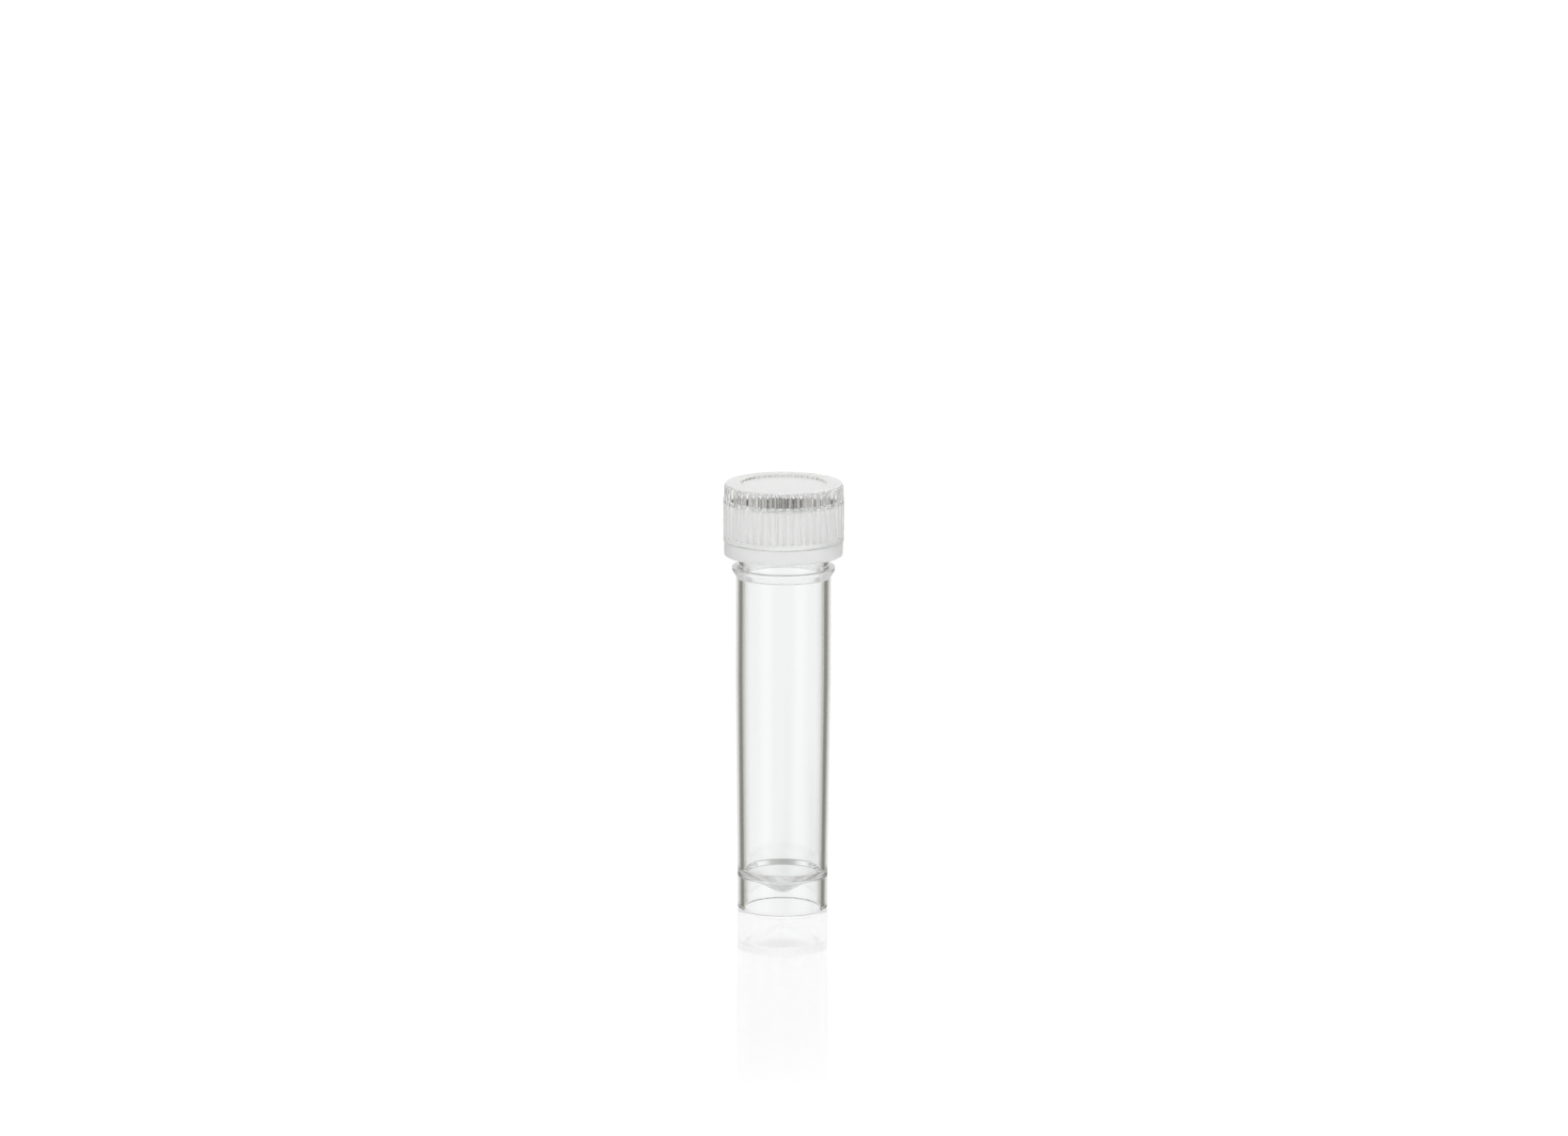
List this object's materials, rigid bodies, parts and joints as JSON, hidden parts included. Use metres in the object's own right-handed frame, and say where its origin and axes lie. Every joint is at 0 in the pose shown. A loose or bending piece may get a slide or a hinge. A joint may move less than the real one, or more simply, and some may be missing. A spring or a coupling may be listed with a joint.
{
  "type": "cryovial",
  "caption": "Clear self-standing cryogenic storage tube with a conical floor inside its skirt, a shoulder flange and a ribbed screw cap with a seal ring under its top.",
  "frame": {"origin": "centre of the skirt's foot, on the surface the vial stands on", "axes": "+Z along the tube's axis, up to the cap; -Y towards the viewer"},
  "size_m": [0.013, 0.013, 0.047],
  "materials": {
    "clear_tube": "polished clear natural polypropylene",
    "clear_cap": "clear natural polypropylene with a fine matt texture, slightly hazy",
    "silicone": "translucent natural silicone"
  },
  "bodies": {
    "tube": {"vial_tube": "clear_tube"},
    "seal": {"seal_ring": "silicone"},
    "cap": {"screw_cap": "clear_cap"}
  },
  "joints": [
    {"name": "cap_lift", "type": "slide", "parent": "tube", "child": "seal", "axis": [0, 0, 1], "range_m": [0, 0.0075]},
    {"name": "cap_turn", "type": "hinge", "parent": "seal", "child": "cap", "pos_m": [0, 0, 0.043], "axis": [0, 0, 1], "range_deg": [0, 1080]}
  ],
  "couplings": [
    {"joint": "cap_turn", "follows": "cap_lift", "rad_per_m": 2513.3}
  ]
}
